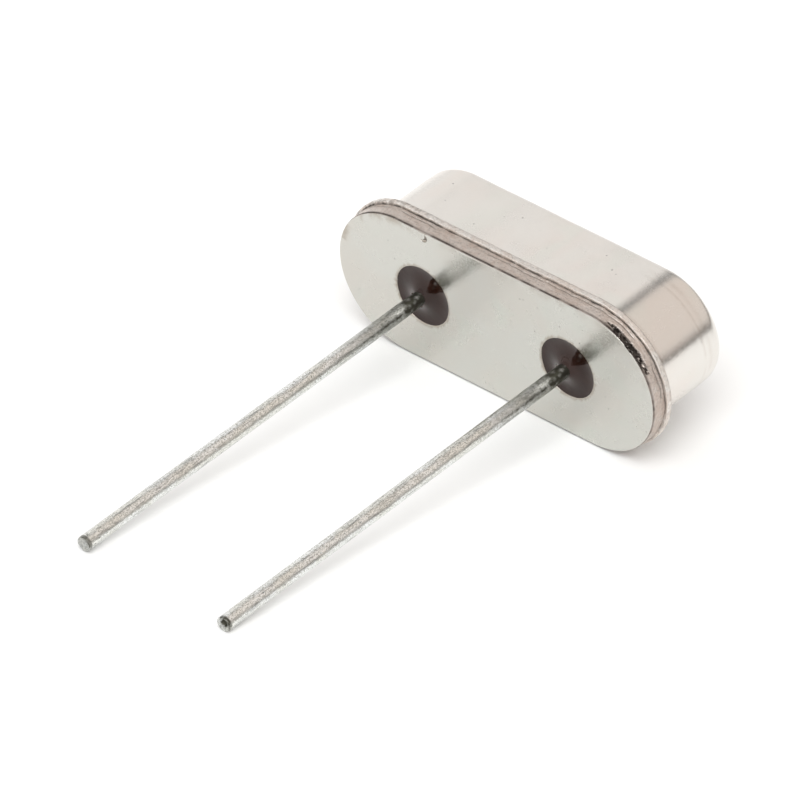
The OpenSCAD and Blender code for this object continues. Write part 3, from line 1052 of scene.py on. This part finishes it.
def paint_lead(piece, side, length):
    """Soot on the cut tip and in a line of residue along the coat, and darkening where the lead nears the
    glass: soot there, and painted shade for the dark glass that the lead reflects.
    """
    local = upright_points(piece) - np.array([side * CAD["lead_x"], 0, 0])
    height = local[:, 2]
    radius = np.hypot(local[:, 0], local[:, 1]) / CAD["lead_r"]
    cut = 1 - smooth_step(height + length, 0.1, 0.14)
    grit = noise_field(local, 9.0, 4.1, 3)
    dragged = dragged_side(local) + 0.3 * grit
    rim = hump(radius - 0.93, 0.08) * smooth_step(dragged, 0.0, 0.7)
    if side < 0:
        tip = 0.42 + 0.5 * rim + 0.35 * smooth_step(dragged, 0.15, 0.7) * (radius < 0.95)
    else:
        tip = 0.2 + 0.7 * rim + 0.95 * tip_hollow(local, side, grit) + 0.3 * smooth_step(grit, -0.1, 0.3)
    # Darker towards the glass: part soot, part painted shade standing in for the dark glass and horizon that
    # the lead reflects there.
    near_glass_soot_and_shade = 0.68 * smooth_step(height, -4.2, -0.9) + 0.4 * smooth_step(height, -1.1, -0.6)
    sway = 6 * noise_field(local * (0, 0, 1), 0.9, 2.7, 2)
    off_line = np.degrees(np.arctan2(local[:, 1], local[:, 0])) - RESIDUE_ANGLE + sway
    residue = 0.42 * hump(off_line, RESIDUE_WIDTH) * (1 - cut) * (0.7 + 0.6 * grit)
    soot = tip * cut + residue + near_glass_soot_and_shade * (0.85 + 0.45 * grit)
    set_attribute(piece, "soot", np.clip(soot, 0, 1))


def build_leads():
    """The two leads: tinned wire with a bitten tip, thinner bare wire at the glass, and a flat head."""
    finish = tin_finish(tuple(settings("crystal_leads").tin_colour))
    for side, label in ((-1, "left"), (1, "right")):
        cad = upright_points(frame["nodes"][f"lead_{label}"])
        length = -cad[:, 2].min()
        head_top = cad[:, 2].max()
        head_bottom = cad[cad[:, 2] < head_top - SAME_PLANE][:, 2].max()
        head_r = (cad[:, 0].max() - cad[:, 0].min()) / 2
        path = lead_profile(length, head_r, head_bottom, head_top)
        ring = round_ring(side * CAD["lead_x"], LEAD_STEPS)
        points, quads = sweep(path, ring, lead_relief(length, side))
        piece = make_piece(f"tinned_lead_{label}", points, quads, [finish], 40)
        paint_lead(piece, side, length)
        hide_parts(f"lead_{label}")


def dress_inside():
    """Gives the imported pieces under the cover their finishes."""
    inside = settings("crystal_inside")
    finishes = {
        "spring_clip": spring_bronze_finish(tuple(inside.bronze_colour)),
        "quartz_blank": quartz_finish(tuple(inside.quartz_colour)),
        "electrode": silver_film_finish(tuple(inside.silver_colour)),
        "adhesive": silver_adhesive_finish(tuple(inside.adhesive_colour)),
    }
    for name, piece in frame["nodes"].items():
        for part, finish in finishes.items():
            if part in name:
                for material_slot in piece.material_slots:
                    material_slot.material = finish


# --- Stage ---

# What the metal mirrors: the open room, a warm wall, the two sides of the horizon and the strip overhead.
ROOM_WHITE = (1.02, 1.0, 0.985)
WARM_WALL = (0.86, 0.79, 0.74)
PALE_SKIRTING = (0.95, 0.94, 0.93)
DIM_SKIRTING = (0.15, 0.135, 0.125)
STRIP_GREY = (0.26, 0.26, 0.26)
# The front light: azimuth and elevation in degrees, distance and width in metres, and colour.
FRONT_FROM = (150, 52)
FRONT_DISTANCE = 0.7
FRONT_SIZE = 0.5
FRONT_TINT = (0.98, 0.99, 1.0)
# The camera: the point that it is aimed at and its distance from there in millimetres, and its angles.
CAMERA_AIM = (-0.0527, 1.2254, 1.5675)
CAMERA_DISTANCE = 302.78
CAMERA_AZIMUTH = 39.861
CAMERA_ELEVATION = 31.868
CAMERA_ROLL = 3.106


def build_floor():
    """A pale matt floor, level with what the unit rests on."""
    stage = settings("crystal_stage")
    half = stage.floor_size / 2
    mesh = bpy.data.meshes.new("floor")
    corners = [(-half, -half, 0), (half, -half, 0), (half, half, 0), (-half, half, 0)]
    mesh.from_pydata(corners, [], [(0, 1, 2, 3)])
    floor = linked_object("floor", mesh)
    finish = Finish("pale_floor", Roughness=0.9, Specular_IOR_Level=0.1)
    cloud = finish.noise(0.05, 3.0)
    colour = tuple(stage.floor_colour)
    tone = finish.blend(finish.span(cloud, 0.3, 0.7), colour, shade(colour, 0.99))
    mesh.materials.append(finish.done(Base_Color=tone))


def direction_of(azimuth, elevation):
    """Unit vector; azimuth 0 is along +Y and 90 along +X."""
    a, e = math.radians(azimuth), math.radians(elevation)
    return Vector((math.sin(a) * math.cos(e), math.cos(a) * math.cos(e), math.sin(e)))


def build_front_light():
    """A soft round light, in front of the unit and above it, that faces it."""
    light = bpy.data.lights.new("soft_front", "AREA")
    light.shape = "DISK"
    light.size = FRONT_SIZE
    light.energy = settings("crystal_stage").front_power
    light.color = FRONT_TINT
    lamp = linked_object("soft_front", light)
    lamp.location = direction_of(*FRONT_FROM).normalized() * FRONT_DISTANCE
    lamp.rotation_euler = (-lamp.location).to_track_quat("-Z", "Y").to_euler()


def build_room():
    """A white room with a dim horizon, a warm wall behind on the right and one dim strip overhead."""
    world = bpy.data.worlds.new("soft_room")
    bpy.context.scene.world = world
    world.use_nodes = True
    room = Nodes(world.node_tree)
    where = room.node("ShaderNodeTexCoord").outputs["Generated"]

    def facing(direction, low, high):
        towards = room.node("ShaderNodeVectorMath", {0: where, 1: direction}, operation="DOT_PRODUCT")
        return room.span(towards.outputs["Value"], low, high)

    wall = facing(direction_of(25, 35), 0.5, 0.85)
    open_room = room.blend(wall, ROOM_WHITE, WARM_WALL)
    back_right = facing(direction_of(55, 0), -0.1, 0.6)
    skirting = room.blend(back_right, PALE_SKIRTING, DIM_SKIRTING)
    lit = room.blend(facing(Vector((0, 0, 1)), 0.0, 0.3), skirting, open_room)
    strip_middle = direction_of(-34, 57)
    strip_axis = strip_middle.cross(direction_of(-20, 5)).normalized()
    beside_strip = room.plus(facing(strip_axis, 0.02, 0.15), facing(-strip_axis, 0.02, 0.15))
    dimmed = room.blend(beside_strip, STRIP_GREY, lit)
    whole = room.blend(facing(strip_middle, 0.55, 0.85), lit, dimmed)
    background = world.node_tree.nodes["Background"]
    world.node_tree.links.new(whole, background.inputs["Color"])
    background.inputs["Strength"].default_value = settings("crystal_stage").light_level


def build_camera():
    """A long lens at the viewing angle, aimed at the middle of the unit."""
    outward = direction_of(180 - CAMERA_AZIMUTH, CAMERA_ELEVATION)
    camera = linked_object("camera", bpy.data.cameras.new("camera"))
    camera.data.lens = settings("crystal_stage").focal_length
    camera.data.sensor_width = 36.0
    camera.data.clip_start = 0.01
    camera.data.clip_end = 10.0
    camera.location = Vector(CAMERA_AIM) * MM + outward * (CAMERA_DISTANCE * MM)
    roll = Matrix.Rotation(math.radians(CAMERA_ROLL), 3, "Z")
    camera.rotation_euler = ((-outward).to_track_quat("-Z", "Y").to_matrix() @ roll).to_euler()
    bpy.context.scene.camera = camera


# --- Operators, panel and registration ---


class CRYSTAL_OT_cover(bpy.types.Operator):
    """Builds the drawn cover"""

    bl_idname = "crystal.cover"
    bl_label = "Cover"

    def execute(self, context):
        build_cover()
        return {"FINISHED"}


class CRYSTAL_OT_base(bpy.types.Operator):
    """Builds the stamped base"""

    bl_idname = "crystal.base"
    bl_label = "Base"

    def execute(self, context):
        build_base()
        return {"FINISHED"}


class CRYSTAL_OT_seals(bpy.types.Operator):
    """Builds the two glass seals"""

    bl_idname = "crystal.seals"
    bl_label = "Glass Seals"

    def execute(self, context):
        build_seals()
        return {"FINISHED"}


class CRYSTAL_OT_leads(bpy.types.Operator):
    """Builds the two tinned leads"""

    bl_idname = "crystal.leads"
    bl_label = "Leads"

    def execute(self, context):
        build_leads()
        return {"FINISHED"}


class CRYSTAL_OT_inside(bpy.types.Operator):
    """Gives the blank, electrodes, clips and adhesive their finishes"""

    bl_idname = "crystal.inside"
    bl_label = "Inside"

    def execute(self, context):
        dress_inside()
        return {"FINISHED"}


class CRYSTAL_OT_stage(bpy.types.Operator):
    """Builds the floor, the light and the camera"""

    bl_idname = "crystal.stage"
    bl_label = "Stage"

    def execute(self, context):
        build_floor()
        build_room()
        build_front_light()
        build_camera()
        context.scene.view_settings.view_transform = "Standard"
        return {"FINISHED"}


class CRYSTAL_PT_panel(bpy.types.Panel):
    """Lists the pieces and their settings"""

    bl_idname = "CRYSTAL_PT_panel"
    bl_label = "Quartz Crystal Unit"
    bl_space_type = "VIEW_3D"
    bl_region_type = "UI"
    bl_category = "Crystal"

    def draw(self, context):
        for group, operators in PANEL_ROWS.items():
            box = self.layout.box()
            values = getattr(context.scene, group)
            for name in values.__annotations__:
                box.prop(values, name)
            for operator in operators:
                box.operator(operator.bl_idname)


GROUPS = {
    "crystal_metalwork": CrystalMetalwork,
    "crystal_leads": CrystalLeads,
    "crystal_inside": CrystalInside,
    "crystal_stage": CrystalStage,
}
PANEL_ROWS = {
    "crystal_metalwork": (CRYSTAL_OT_cover, CRYSTAL_OT_base),
    "crystal_leads": (CRYSTAL_OT_seals, CRYSTAL_OT_leads),
    "crystal_inside": (CRYSTAL_OT_inside,),
    "crystal_stage": (CRYSTAL_OT_stage,),
}
OPERATORS = [operator for operators in PANEL_ROWS.values() for operator in operators]


def register():
    """Adds the settings, the operators and the panel."""
    for group, kind in GROUPS.items():
        bpy.utils.register_class(kind)
        setattr(bpy.types.Scene, group, PointerProperty(type=kind))
    for operator in OPERATORS:
        bpy.utils.register_class(operator)
    bpy.utils.register_class(CRYSTAL_PT_panel)


def unregister():
    """Takes them away again."""
    bpy.utils.unregister_class(CRYSTAL_PT_panel)
    for operator in OPERATORS:
        bpy.utils.unregister_class(operator)
    for group, kind in GROUPS.items():
        delattr(bpy.types.Scene, group)
        bpy.utils.unregister_class(kind)


def main():
    """Builds every piece and the stage."""
    register()
    bpy.ops.crystal.cover()
    bpy.ops.crystal.base()
    bpy.ops.crystal.seals()
    bpy.ops.crystal.leads()
    bpy.ops.crystal.inside()
    bpy.ops.crystal.stage()


if __name__ == "__main__":
    main()
